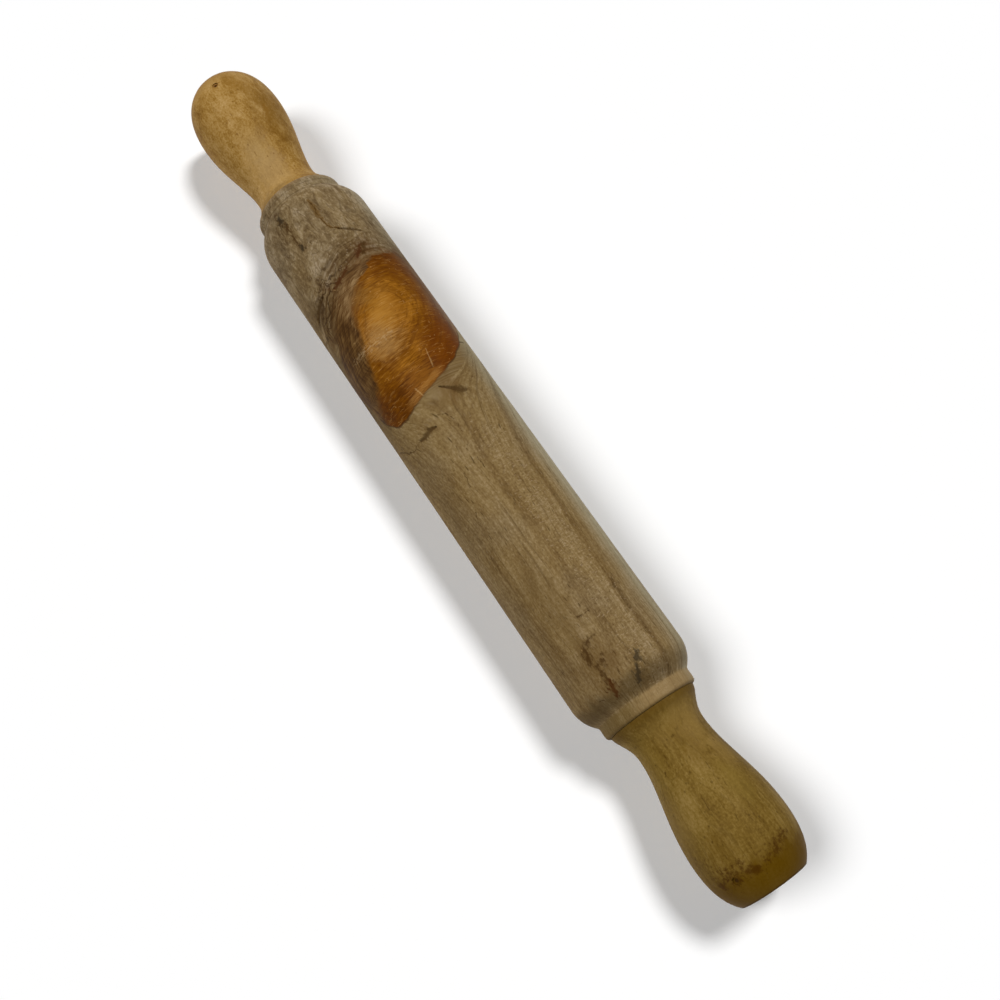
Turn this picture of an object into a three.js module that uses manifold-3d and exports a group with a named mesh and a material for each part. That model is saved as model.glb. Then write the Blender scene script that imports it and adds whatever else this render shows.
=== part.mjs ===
// Wooden rolling pin: a turned barrel that spins freely on a steel axle between two turned handles.
// Millimetres, +Z up. X runs along the axle, +X is the right hand, and the barrel lies on z = 0.
import * as THREE from "three";
import { mergeVertices } from "three/addons/utils/BufferGeometryUtils.js";
import Module from "manifold-3d";

const wasm = await Module();
wasm.setup();

// Barrel: a straight roller with a rounded shoulder and a turned collar at each end.
const barrelDiameter = 48;
const straightLength = 222;
const shoulderLength = 11;
const collarDiameter = 38.6;
const collarLength = 6.2;
const collarEdgeRadius = 1.4;

// Handles: a flared foot against the collar, a narrow neck, a full bulb and a flat end.
const handleLength = 69;
const footDiameter = 36.8;
const footEdgeRadius = 0.5;
const flareReach = 2.9; // how far the flare runs before it has turned along the neck
const neckDiameter = 28.1;
const neckFromFoot = 10.5;
const neckFullness = 0.29; // share of the rise that leaves the neck along the axle
const bulbDiameter = 39.3;
const bulbFromEnd = 19.2;
const bulbFullness = 0.4; // share of the rise that meets the bulb along the axle
const endDiameter = 27.6;
const endReach = 6.5; // how far from the end the bulb starts to close in
const endEase = 0.6; // worn rim of the flat end

// Steel axle, held in a blind bore in each handle.
const axleDiameter = 8;
const axleChamfer = 0.8;
const endWall = 3.5; // wood left between the bore and the flat end

// Brass bushings pressed into the barrel's ends, which run on the axle.
const bushingWall = 3;
const bushingLength = 24;
const bushingChamfer = 0.5;
const boreRelief = 1.5; // the barrel's bore clears the axle by this between the bushings

// Thrust washers, let into the handles' feet, that keep the handles off the collars.
const washerRing = 6;
const washerThickness = 1.2;
const washerProud = 0.3;
const washerChamfer = 0.2;

// Steel brads driven through each bulb and the axle, with their ends sunk below the wood.
const bradDiameter = 2.4;
const bradFromAxleEnd = 5.5;
const bradSunk = 0.8;
const bradFarWall = 1.2; // wood left beyond the brad's point
const bradPoint = 1.2;
const rightBradTilt = 43; // degrees from straight up towards the front
const leftBradTilt = 10;

// Clearances.
const runningClearance = 0.15;
const pressClearance = 0.12;
const seatClearance = 0.3;
const bradClearance = 0.15;

// Facets: multiples of four, so that a flat lies straight down, up, in front and behind.
const woodSides = 40;
const metalSides = 24;
const bradSides = 12;
const shoulderSteps = 7;
const collarEdgeSteps = 4;
const flareSteps = 5;
const riseSteps = 8;
const endSteps = 7;
const rimSteps = 2;
const mergeDistance = 1e-4;

// Sizes that follow from the ones above.
const barrelRadius = barrelDiameter / 2;
const collarRadius = collarDiameter / 2;
const axleRadius = axleDiameter / 2;
const barrelEnd = straightLength / 2 + shoulderLength + collarLength;
const bushingBore = axleRadius + runningClearance;
const bushingRadius = bushingBore + bushingWall;
const washerBore = axleRadius + runningClearance;
const washerRadius = washerBore + washerRing;
const footAt = barrelEnd + seatClearance + washerProud;
const handleBore = axleRadius + pressClearance;
const handleBoreDepth = handleLength - endWall;
const axleHalfLength = footAt + handleBoreDepth - seatClearance;
const bradAt = axleHalfLength - bradFromAxleEnd;
const bradRadius = bradDiameter / 2;

const degrees = Math.PI / 180;

// A solid turned about X. The profile holds [along, radius] pairs, and its flats touch the true circle.
function turned(profile, sides) {
  const cornerShare = 1 / Math.cos(Math.PI / sides);
  const points = profile.map(([along, radius]) => new THREE.Vector2(radius * cornerShare, along));
  return new THREE.LatheGeometry(points, sides, Math.PI / sides).rotateZ(-Math.PI / 2);
}

// A solid turned about X, then stood up on Z and tilted in its place across the axle.
function turnedAcross(profile, sides, tilt) {
  return turned(profile, sides).rotateY(-Math.PI / 2).rotateX(tilt).translate(bradAt, 0, 0);
}

function pairs(curve, steps) {
  return curve.getPoints(steps).map((point) => [point.x, point.y]);
}

function quarterRound(along, radius, edge) {
  const arc = new THREE.EllipseCurve(along - edge, radius - edge, edge, edge, Math.PI / 2, 0, true);
  return pairs(arc, collarEdgeSteps);
}

function bend(start, control, end, steps) {
  return pairs(new THREE.QuadraticBezierCurve(start, control, end), steps);
}

function asSolid(geometry) {
  const bare = geometry.clone();
  bare.deleteAttribute("normal");
  bare.deleteAttribute("uv");
  const merged = mergeVertices(bare, mergeDistance);
  const vertProperties = merged.attributes.position.array;
  const triVerts = new Uint32Array(merged.index.array);
  return new wasm.Manifold(new wasm.Mesh({ numProp: 3, vertProperties, triVerts }));
}

function cutBy(geometry, cutters) {
  const cut = cutters.reduce((left, cutter) => left.subtract(asSolid(cutter)), asSolid(geometry));
  const mesh = cut.getMesh();
  const result = new THREE.BufferGeometry();
  result.setAttribute("position", new THREE.BufferAttribute(mesh.vertProperties, 3));
  result.setIndex(new THREE.BufferAttribute(mesh.triVerts, 1));
  result.computeVertexNormals();
  return result;
}

function piece(name, geometry, material) {
  const mesh = new THREE.Mesh(geometry, new THREE.MeshStandardMaterial(material));
  mesh.name = name;
  return mesh;
}

const barrelWood = { color: 0x7d6446, roughness: 0.72, metalness: 0 };
const rightHandleWood = { color: 0x7c6229, roughness: 0.6, metalness: 0 };
const leftHandleWood = { color: 0xa57d41, roughness: 0.6, metalness: 0 };
const axleSteel = { color: 0x9b9c9c, roughness: 0.35, metalness: 1 };
const bushingBrass = { color: 0xb08d4f, roughness: 0.4, metalness: 1 };
const bradSteel = { color: 0x3a332c, roughness: 0.7, metalness: 1 };

// The barrel's right half, from the end of the straight part over the shoulder and collar into the bore.
function barrelHalf() {
  const straightEnd = straightLength / 2;
  const shoulderTurn = 2 * Math.atan((barrelRadius - collarRadius) / shoulderLength);
  const shoulderRadius = shoulderLength / Math.sin(shoulderTurn);
  const shoulder = new THREE.EllipseCurve(
    straightEnd,
    barrelRadius - shoulderRadius,
    shoulderRadius,
    shoulderRadius,
    Math.PI / 2,
    Math.PI / 2 - shoulderTurn,
    true,
  );
  const socketRadius = bushingRadius + pressClearance;
  const socketFloor = barrelEnd - bushingLength - seatClearance;
  return [
    ...pairs(shoulder, shoulderSteps),
    ...quarterRound(barrelEnd, collarRadius, collarEdgeRadius),
    [barrelEnd, socketRadius],
    [socketFloor, socketRadius],
    [socketFloor, axleRadius + boreRelief],
  ];
}

function barrelGeometry() {
  const right = barrelHalf();
  const left = right.map(([along, radius]) => [-along, radius]).reverse();
  return turned([...right, ...left, right[0]], woodSides);
}

// The handle's outside from the foot to the flat end, with the foot at zero.
function handleOutline() {
  const footRadius = footDiameter / 2;
  const neck = new THREE.Vector2(neckFromFoot, neckDiameter / 2);
  const bulb = new THREE.Vector2(handleLength - bulbFromEnd, bulbDiameter / 2);
  const footTop = new THREE.Vector2(footEdgeRadius, footRadius);
  const flareTurn = new THREE.Vector2(footEdgeRadius + flareReach, neck.y);
  const rise = bulb.x - neck.x;
  const leaveNeck = new THREE.Vector2(neck.x + neckFullness * rise, neck.y);
  const meetBulb = new THREE.Vector2(bulb.x - bulbFullness * rise, bulb.y);
  const endTurn = new THREE.Vector2(handleLength - endReach, bulb.y);
  const rimStart = new THREE.Vector2(handleLength - endEase, endDiameter / 2);
  const rimTurn = new THREE.Vector2(handleLength, rimStart.y - endEase);
  const rimEnd = new THREE.Vector2(handleLength, rimTurn.y - endEase);
  return [
    [0, footRadius - footEdgeRadius],
    ...bend(footTop, flareTurn, neck, flareSteps),
    ...pairs(new THREE.CubicBezierCurve(neck, leaveNeck, meetBulb, bulb), riseSteps).slice(1),
    ...bend(bulb, endTurn, rimStart, endSteps).slice(1),
    ...bend(rimStart, rimTurn, rimEnd, rimSteps).slice(1),
  ];
}

// Radius of the handle's outside at a distance from its foot.
function handleRadiusAt(along) {
  const outline = handleOutline();
  const next = outline.findIndex(([point]) => point > along);
  const [lowAlong, lowRadius] = outline[next - 1];
  const [highAlong, highRadius] = outline[next];
  return THREE.MathUtils.mapLinear(along, lowAlong, highAlong, lowRadius, highRadius);
}

function handleGeometry(bradHole) {
  const recessRadius = washerRadius + seatClearance;
  const recessDepth = washerThickness - washerProud + seatClearance;
  const profile = [
    [handleBoreDepth, 0],
    [handleBoreDepth, handleBore],
    [recessDepth, handleBore],
    [recessDepth, recessRadius],
    [0, recessRadius],
    ...handleOutline(),
    [handleLength, 0],
  ];
  return cutBy(turned(profile, woodSides).translate(footAt, 0, 0), [bradHole]);
}

function ringGeometry(low, length, bore, radius, chamfer) {
  const high = low + length;
  const profile = [
    [low, bore],
    [low, radius - chamfer],
    [low + chamfer, radius],
    [high, radius],
    [high, bore],
    [low, bore],
  ];
  return turned(profile, metalSides);
}

function axleGeometry(bradHoles) {
  const profile = [
    [-axleHalfLength, 0],
    [-axleHalfLength, axleRadius - axleChamfer],
    [axleChamfer - axleHalfLength, axleRadius],
    [axleHalfLength - axleChamfer, axleRadius],
    [axleHalfLength, axleRadius - axleChamfer],
    [axleHalfLength, 0],
  ];
  return cutBy(turned(profile, metalSides), bradHoles);
}

const bradWood = handleRadiusAt(bradAt - footAt);
const bradTop = bradWood - bradSunk;
const bradFoot = bradFarWall - bradWood;

// The brad's hole, from clear above the bulb down to just past the brad's point.
function bradHoleGeometry(tilt) {
  const radius = bradRadius + bradClearance;
  const profile = [
    [bradFoot - seatClearance, 0],
    [bradFoot - seatClearance, radius],
    [bulbDiameter, radius],
    [bulbDiameter, 0],
  ];
  return turnedAcross(profile, bradSides, tilt);
}

function bradGeometry(tilt) {
  const profile = [
    [bradFoot, 0],
    [bradFoot + bradPoint, bradRadius],
    [bradTop, bradRadius],
    [bradTop, 0],
  ];
  return turnedAcross(profile, bradSides, tilt);
}

// Everything at one end, built as the right end: the left end is the same group turned half round.
function endGroup(side, tilt, wood) {
  const group = new THREE.Group();
  const bushingFoot = barrelEnd - bushingLength;
  const bushing = ringGeometry(bushingFoot, bushingLength, bushingBore, bushingRadius, bushingChamfer);
  const washerFace = footAt - washerProud;
  const washer = ringGeometry(washerFace, washerThickness, washerBore, washerRadius, washerChamfer);
  group.add(piece(`${side}_bushing`, bushing, bushingBrass));
  group.add(piece(`${side}_washer`, washer, axleSteel));
  group.add(piece(`${side}_handle`, handleGeometry(bradHoleGeometry(tilt)), wood));
  group.add(piece(`${side}_handle_brad`, bradGeometry(tilt), bradSteel));
  return group;
}

const rightTilt = rightBradTilt * degrees;
const leftTilt = -leftBradTilt * degrees;
const rightEnd = endGroup("right", rightTilt, rightHandleWood);
const leftEnd = endGroup("left", leftTilt, leftHandleWood);
leftEnd.rotation.z = Math.PI;

const axleHoles = [bradHoleGeometry(rightTilt), bradHoleGeometry(leftTilt).rotateZ(Math.PI)];

const rollingPin = new THREE.Group();
rollingPin.name = "rolling_pin";
rollingPin.position.z = barrelRadius;
rollingPin.add(piece("barrel", barrelGeometry(), barrelWood));
rollingPin.add(piece("axle_rod", axleGeometry(axleHoles), axleSteel));
rollingPin.add(rightEnd, leftEnd);

export default rollingPin;
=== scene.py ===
# Looks of a wooden rolling pin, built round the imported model. Metres, +Z up: X runs along the axle and
# +X is the right hand. Lengths that have a name below are in millimetres.
import math

import bmesh
import bpy
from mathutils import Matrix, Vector


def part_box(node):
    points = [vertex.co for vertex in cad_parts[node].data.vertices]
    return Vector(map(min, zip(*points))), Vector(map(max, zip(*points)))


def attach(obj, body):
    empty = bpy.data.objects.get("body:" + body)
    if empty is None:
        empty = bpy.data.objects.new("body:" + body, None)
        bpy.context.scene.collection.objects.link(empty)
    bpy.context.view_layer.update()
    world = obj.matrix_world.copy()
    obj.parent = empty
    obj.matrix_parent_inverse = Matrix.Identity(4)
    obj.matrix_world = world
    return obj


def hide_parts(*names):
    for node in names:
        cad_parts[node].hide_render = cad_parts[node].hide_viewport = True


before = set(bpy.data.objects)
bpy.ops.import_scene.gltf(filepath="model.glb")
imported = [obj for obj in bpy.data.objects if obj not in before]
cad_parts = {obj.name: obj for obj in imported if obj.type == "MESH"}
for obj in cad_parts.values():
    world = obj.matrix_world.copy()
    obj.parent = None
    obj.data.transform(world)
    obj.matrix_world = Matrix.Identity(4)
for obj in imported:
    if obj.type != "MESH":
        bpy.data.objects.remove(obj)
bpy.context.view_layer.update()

MM = 0.001

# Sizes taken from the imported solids.
barrel_low, barrel_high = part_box("barrel")
handle_low, handle_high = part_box("right_handle")
BARREL_RADIUS = (barrel_high.z - barrel_low.z) / 2 / MM
BARREL_END = barrel_high.x / MM
AXLE_HEIGHT = (barrel_high.z + barrel_low.z) / 2 / MM
FOOT_AT = handle_low.x / MM
HANDLE_LENGTH = (handle_high.x - handle_low.x) / MM

# Barrel: straight part, rounded shoulder, small cove, collar with a rolled edge, boss, socket and bore.
STRAIGHT_END = 111.0
SHOULDER_LENGTH = 10.6
COLLAR_RADIUS = 19.3
COVE_RADIUS = 0.9
RIGHT_COLLAR_END = 127.1
LEFT_COLLAR_END = 128.0
COLLAR_ROLL = 2.2
COLLAR_DROP = 1.5
COLLAR_EDGE = 0.2
BOSS_RADIUS = 14.6
SOCKET_RADIUS = 7.27
SOCKET_DEPTH = 24.3
BORE_RADIUS = 5.5
BARREL_SIDES = 160
BARREL_RINGS = 100
CRACK_DEPTH = 0.45
CRACK_STEEPNESS = 1.6
CRACK_MARGIN = 1.2

# Handles: lip that nearly meets the collar, flared foot, neck, bulb, flat end, washer recess and blind bore.
JOINT_GAP = 0.05
FOOT_RADIUS = 17.75
FOOT_EDGE = 0.1
FLARE_START = (2.2, 17.1)
FLARE_END = 4.4
NECK_RADIUS = 13.85
NECK_AT = 10.5
NECK_FULLNESS = 0.29
BULB_RADIUS = 19.65
BULB_FROM_END = 19.2
BULB_FULLNESS = 0.4
END_RADIUS = 13.8
END_REACH = 6.5
END_EASE = 0.35
RECESS_RADIUS = 10.45
RECESS_DEPTH = 1.2
HANDLE_BORE = 4.12
END_WALL = 3.5
BOSS_ROOM = 0.8
LIP_ROOM = 1.4
HANDLE_SIDES = 128

# Brads: hole across each bulb, tilted from straight up towards the front.
BRAD_WOOD_RADIUS = 18.5
BRAD_HOLE_RADIUS = 1.25
BRAD_MOUTH_RADIUS = 1.32
BRAD_MOUTH_DEPTH = 1.2
BRAD_CUTTER_RISE = 3.0
BRAD_HOLE_FLOOR = -17.6
BRAD_HOLE_SIDES = 32
RIGHT_BRAD_TILT = 43.0
LEFT_BRAD_TILT = 10.0

# Hand-worn unevenness of the turned wood.
WEAR_DEPTH = 0.16
WEAR_SIZE = 17.0

# Edges that turn by more degrees than this stay sharp.
SMOOTH_ANGLE = 40

# Flaws of the barrel. Each is a line of (along, around, half width) places: along the axle from its middle,
# and round the barrel from its top line, positive towards the front.
OPEN_CRACKS = [
    [(-94.4, -3.2, 0.35), (-92.2, -7.7, 0.85), (-90.3, -11.3, 0.35)],
    [(-74.4, 18.6, 0.6), (-73.0, 23.6, 1.3), (-70.4, 28.5, 1.1)],
    [(-13.4, 0.4, 0.3), (-10.4, -3.4, 0.9), (-8.2, -6.2, 1.9), (-7.4, -8.0, 0.8)],
    [(-0.9, 10.2, 0.5), (-1.4, 13.4, 1.3), (-0.6, 16.6, 1.0), (-0.9, 18.8, 0.6)],
]
HAIR_CRACKS = [
    [(-112.0, 0.2, 0.3), (-104.0, 0.6, 0.4), (-97.0, -0.1, 0.3), (-94.4, -3.2, 0.3)],
    [(-96.0, 9.2, 0.4), (-95.0, 9.0, 0.5)],
    [(-68.3, 19.0, 0.4), (-63.5, 27.5, 0.7)],
    [(-79.0, 14.0, 0.3), (-76.0, 22.0, 0.5)],
    [(-4.4, 7.6, 0.25), (-2.2, 4.0, 0.3), (1.1, 3.2, 0.2)],
    [(-0.8, 18.6, 0.4), (-0.6, 24.6, 0.3), (-2.2, 27.9, 0.5), (-6.7, 34.0, 0.5)],
    [(3.6, 2.8, 0.2), (6.9, 3.0, 0.25)],
    [(12.0, 4.2, 0.25), (13.9, 5.2, 0.3)],
    [(18.3, 3.7, 0.25), (23.3, 4.0, 0.25)],
    [(20.0, 11.4, 0.25), (26.0, 12.6, 0.3)],
    [(33.9, 16.9, 0.3), (40.0, 17.8, 0.3)],
    [(88.4, 2.6, 0.2), (88.2, 7.6, 0.4)],
    [(116.0, 17.3, 0.3), (115.4, 19.2, 0.35)],
]
SOOT_MARKS = [
    [(-114.4, 14.8, 1.6), (-112.0, 14.5, 2.0)],
    [(-97.6, 13.5, 1.2), (-96.2, 13.3, 1.5)],
    [(109.4, -2.6, 1.7), (111.6, -1.2, 1.9)],
    [(112.8, 0.0, 1.2), (114.6, 0.8, 1.7), (117.6, 2.3, 1.4)],
]
RUST_MARKS = [
    [(-84.0, -6.6, 1.1), (-81.6, -4.8, 1.9), (-79.0, -3.0, 1.0)],
    [(-77.5, 3.0, 0.8), (-73.6, 9.6, 1.4), (-72.6, 13.0, 0.8)],
    [(112.2, 11.0, 1.0), (115.0, 11.6, 1.7), (118.2, 12.6, 0.9)],
]
OCHRE_MARKS = [
    [(-112.6, 0.0, 0.7), (-108.0, 0.5, 1.6), (-103.3, 0.4, 1.2), (-97.2, -0.2, 0.7), (-94.4, -3.2, 0.6)],
]
BROWN_STAINS = [
    [(-118.0, 16.0, 1.4), (-112.0, 14.5, 2.6), (-104.0, 13.7, 1.0), (-97.0, 13.3, 2.0)],
    [(-84.5, -8.5, 1.6), (-80.0, -6.0, 2.2)],
    [(96.4, 6.6, 1.0), (96.9, 10.4, 1.8), (100.0, 12.2, 2.4), (104.0, 13.4, 1.6)],
    [(103.6, 8.0, 1.4), (108.0, 10.0, 1.4)],
    [(106.0, 11.6, 1.8), (112.6, 11.6, 2.4)],
]
PALE_SCRATCHES = [
    [(-30.0, -4.0, 0.2), (-21.7, -2.1, 0.35)],
    [(-18.3, 8.4, 0.3), (-14.2, 7.3, 0.35)],
    [(-72.7, 12.4, 0.4), (-72.3, 12.1, 0.4)],
    [(-63.0, 8.6, 0.25), (-63.0, 9.6, 0.25)],
    [(-50.2, 18.6, 0.3), (-49.8, 18.2, 0.3)],
    [(-71.9, -0.8, 0.25), (-71.3, 0.2, 0.25)],
    [(98.1, 13.0, 0.3), (98.4, 13.0, 0.3)],
]
CHAFED_BAND = [
    [(-43.4, 3.0, 1.5), (-44.0, 14.0, 2.2), (-44.4, 24.0, 1.2)],
]

# Flaws of the handles, in the same way.
RIGHT_HANDLE_DASHES = [
    [(161.0, 9.0, 0.25), (165.5, 9.2, 0.3)],
    [(147.4, 19.6, 0.3), (148.6, 20.6, 0.4)],
    [(152.0, -3.0, 0.25), (154.6, -2.6, 0.3)],
    [(171.0, 1.2, 0.25), (173.4, 1.6, 0.25)],
]
RIGHT_HANDLE_SMEARS = [
    [(184.6, -13.0, 2.4), (186.6, -6.0, 3.2), (186.6, 1.0, 3.8)],
    [(188.8, 6.6, 3.4), (187.8, 10.4, 3.6), (184.6, 12.0, 2.4)],
    [(187.0, 16.0, 3.8), (184.0, 21.0, 3.0), (187.6, 26.0, 2.8)],
]
LEFT_HANDLE_DASHES = [
    [(-152.0, 8.0, 0.3), (-150.4, 8.3, 0.3)],
    [(-158.0, -2.0, 0.3), (-156.6, -1.6, 0.35)],
    [(-141.0, 12.0, 0.3), (-139.4, 12.4, 0.3)],
    [(-171.6, 6.0, 0.3), (-170.2, 6.2, 0.35)],
]
LEFT_HANDLE_SMEARS = [
    [(-169.0, -13.0, 3.0), (-160.0, -11.0, 4.0)],
]

# Branch knot in the barrel: a slanted oval with its heart to the left of its middle.
KNOT_ALONG = -44.5
KNOT_AROUND = 2.5
KNOT_SLANT = math.radians(42)
KNOT_LENGTH = 39.0
KNOT_BREADTH = 27.0
HEART = Vector((-0.16, 0.2))
BEND_RADIUS = 31.0
# Its sharp right edge, and its left edge that runs on along the lower side: (around, along) places.
KNOT_RIGHT_EDGE = [
    (-30.0, -39.0),
    (-21.6, -30.0),
    (-13.8, -23.3),
    (-7.1, -19.2),
    (0.1, -16.0),
    (7.3, -13.6),
    (14.0, -11.9),
    (19.6, -11.1),
    (25.7, -13.3),
    (31.8, -21.7),
    (36.0, -34.0),
]
KNOT_LEFT_EDGE = [
    (-30.0, -70.0),
    (-22.0, -76.0),
    (-14.0, -77.4),
    (-8.0, -76.6),
    (-3.0, -73.6),
    (3.6, -68.4),
    (8.0, -65.4),
    (11.0, -60.0),
    (14.4, -50.6),
    (18.0, -40.0),
    (20.6, -33.0),
    (24.6, -25.4),
    (29.0, -19.0),
    (36.0, -8.0),
]
# Where both edges start round the barrel, how far they go round it, and their greatest reach along it.
EDGE_START = -32.0
EDGE_SPAN = 70.0
EDGE_REACH = 80.0

# Growth bands of the barrel's wood from its back to its front: (share of the way, tone).
GROWTH_TONES = [
    (0.0, 0.5), (0.22, 0.58), (0.262, 0.64), (0.276, 0.44), (0.288, 0.68), (0.318, 0.72),
    (0.33, 0.5), (0.342, 0.68), (0.36, 0.58), (0.376, 0.32), (0.392, 0.56), (0.44, 0.58),
    (0.485, 0.52), (0.507, 0.38), (0.53, 0.5), (0.57, 0.58), (0.64, 0.5), (0.7, 0.48),
    (0.72, 0.4), (0.74, 0.48), (0.765, 0.42), (0.8, 0.48), (1.0, 0.5),
]


# Modelling.

def curve(controls, steps):
    """Points along a smooth curve drawn by a few control points."""
    points = []
    for step in range(steps + 1):
        hull = [Vector(control) for control in controls]
        while len(hull) > 1:
            hull = [first.lerp(second, step / steps) for first, second in zip(hull, hull[1:])]
        points.append(tuple(hull[0]))
    return points


def pick(piece):
    """Leaves only this piece selected and active."""
    bpy.ops.object.select_all(action="DESELECT")
    piece.select_set(True)
    bpy.context.view_layer.objects.active = piece


def start_ring(name, along, radius, sides):
    """A ring round the axle, left selected in edit mode."""
    bpy.ops.object.select_all(action="DESELECT")
    bpy.ops.mesh.primitive_circle_add(
        vertices=sides,
        radius=radius * MM,
        location=(along * MM, 0, AXLE_HEIGHT * MM),
        rotation=(0, math.pi / 2, 0),
    )
    piece = bpy.context.object
    piece.name = name
    piece.data.name = name
    bpy.ops.object.transform_apply(location=True, rotation=True, scale=True)
    bpy.ops.object.mode_set(mode="EDIT")
    bpy.ops.mesh.select_mode(type="VERT")
    bpy.ops.mesh.select_all(action="SELECT")
    return piece


def turn_along(outline):
    """Extrudes the selected ring from each (along, radius) point of an outline to the next."""
    for (along, radius), (next_along, next_radius) in zip(outline, outline[1:]):
        shift = ((next_along - along) * MM, 0, 0)
        share = next_radius / radius
        middle = (next_along * MM, 0, AXLE_HEIGHT * MM)
        bpy.ops.mesh.extrude_region_move(TRANSFORM_OT_translate={"value": shift})
        bpy.ops.transform.resize(value=(1, share, share), center_override=middle)


def select_open_edges():
    bpy.ops.mesh.select_mode(type="EDGE")
    bpy.ops.mesh.select_all(action="DESELECT")
    bpy.ops.mesh.select_non_manifold()


def face_outwards():
    bpy.ops.mesh.select_all(action="SELECT")
    bpy.ops.mesh.normals_make_consistent(inside=False)
    bpy.ops.object.mode_set(mode="OBJECT")


def apply_modifiers(piece):
    pick(piece)
    for modifier in list(piece.modifiers):
        bpy.ops.object.modifier_apply(modifier=modifier.name)


def smooth(piece, degrees):
    pick(piece)
    bpy.ops.object.shade_smooth_by_angle(angle=math.radians(degrees))


def lathe_place(point):
    """Distance along the axle, round the barrel from its top line, and out from the axle."""
    up = point.z - AXLE_HEIGHT * MM
    around = math.atan2(-point.y, up) * BARREL_RADIUS
    return point.x / MM, around, math.hypot(point.y, up) / MM


def crack_share(along, around, line):
    """How deep in a crack a place is: 1 on its line, 0 from its half width outwards."""
    deepest = 0.0
    spot = Vector((along, around))
    for start, end in zip(line, line[1:]):
        first = Vector(start[:2])
        run = Vector(end[:2]) - first
        share = max(0.0, min(1.0, (spot - first).dot(run) / run.length_squared))
        half_width = start[2] + (end[2] - start[2]) * share
        distance = (spot - first - run * share).length
        deepest = max(deepest, 1 - distance / half_width)
    return deepest


def near_crack(along, around, line, margin):
    wide = [(place[0], place[1], place[2] + margin) for place in line]
    return crack_share(along, around, wide) > 0


def sink_cracks(barrel):
    """Finer faces along the open cracks, pushed in where the cracks are deep."""
    pick(barrel)
    bpy.ops.object.mode_set(mode="EDIT")
    bpy.ops.mesh.select_mode(type="FACE")
    bpy.ops.mesh.select_all(action="DESELECT")
    mesh = bmesh.from_edit_mesh(barrel.data)
    for face in mesh.faces:
        along, around, out = lathe_place(face.calc_center_median())
        if out > COLLAR_RADIUS:
            face.select_set(any(near_crack(along, around, line, CRACK_MARGIN) for line in OPEN_CRACKS))
    bpy.ops.mesh.subdivide(number_cuts=1)
    bpy.ops.mesh.subdivide(number_cuts=3)
    bpy.ops.object.mode_set(mode="OBJECT")
    cracks = barrel.vertex_groups.new(name="cracks")
    for vertex in barrel.data.vertices:
        along, around, out = lathe_place(vertex.co)
        if out > COLLAR_RADIUS:
            share = max(crack_share(along, around, line) for line in OPEN_CRACKS)
            if share > 0:
                cracks.add([vertex.index], min(1.0, CRACK_STEEPNESS * share), "REPLACE")
    sink = barrel.modifiers.new("open_cracks", "DISPLACE")
    sink.vertex_group = "cracks"
    sink.mid_level = 0.0
    sink.strength = -CRACK_DEPTH * MM
    apply_modifiers(barrel)


def wear_down(piece, worn):
    """Takes a little off the outside, unevenly, wherever worn(along, around, out) says so."""
    group = piece.vertex_groups.new(name="worn")
    for vertex in piece.data.vertices:
        if worn(*lathe_place(vertex.co)):
            group.add([vertex.index], 1.0, "REPLACE")
    dips = bpy.data.textures.new(piece.name + "_wear", "CLOUDS")
    dips.noise_scale = WEAR_SIZE * MM
    wear = piece.modifiers.new("wear", "DISPLACE")
    wear.texture = dips
    wear.texture_coords = "LOCAL"
    wear.vertex_group = "worn"
    wear.mid_level = 1.0
    wear.strength = WEAR_DEPTH * MM
    apply_modifiers(piece)


def barrel_outline(collar_end):
    """One half of the barrel, from the end of the straight part to the bore."""
    drop = BARREL_RADIUS - COLLAR_RADIUS
    turn = 2 * math.atan(drop / SHOULDER_LENGTH)
    reach = SHOULDER_LENGTH / math.sin(turn)
    steps = 16
    shoulder = []
    for step in range(steps + 1):
        angle = turn * step / steps
        along = STRAIGHT_END + reach * math.sin(angle)
        shoulder.append((along, BARREL_RADIUS - reach * (1 - math.cos(angle))))
    corner = shoulder.pop()
    cove_start = (corner[0] - COVE_RADIUS * math.cos(turn), corner[1] + COVE_RADIUS * math.sin(turn))
    shoulder = [point for point in shoulder if point[0] < cove_start[0]]
    cove = curve([cove_start, corner, (corner[0] + COVE_RADIUS, corner[1])], 5)
    edge_start = (collar_end - COLLAR_ROLL, COLLAR_RADIUS)
    edge_end = (collar_end, COLLAR_RADIUS - COLLAR_DROP)
    edge = curve([edge_start, (collar_end - COLLAR_EDGE, COLLAR_RADIUS), edge_end], 8)
    collar_middle = ((cove[-1][0] + edge_start[0]) / 2, COLLAR_RADIUS)
    boss = [(collar_end, BOSS_RADIUS), (BARREL_END, BOSS_RADIUS)]
    socket_floor = BARREL_END - SOCKET_DEPTH
    inside = [(BARREL_END, SOCKET_RADIUS), (socket_floor, SOCKET_RADIUS), (socket_floor, BORE_RADIUS)]
    return shoulder + cove + [collar_middle] + edge + boss + inside


def make_barrel():
    right = barrel_outline(RIGHT_COLLAR_END)
    left = [(-along, radius) for along, radius in reversed(barrel_outline(LEFT_COLLAR_END))]
    barrel = start_ring("turned_barrel", *left[0], BARREL_SIDES)
    turn_along(left + right)
    select_open_edges()
    bpy.ops.mesh.bridge_edge_loops()
    bpy.ops.mesh.select_all(action="DESELECT")
    mesh = bmesh.from_edit_mesh(barrel.data)
    for edge in mesh.edges:
        first, second = edge.verts
        outside = lathe_place(first.co)[2] > COLLAR_RADIUS
        edge.select_set(outside and abs(first.co.x - second.co.x) > STRAIGHT_END * MM)
    bpy.ops.mesh.subdivide(number_cuts=BARREL_RINGS)
    face_outwards()
    wear_down(barrel, lambda along, around, out: out > COLLAR_RADIUS - 0.1)
    sink_cracks(barrel)
    smooth(barrel, SMOOTH_ANGLE)
    return barrel


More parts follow.
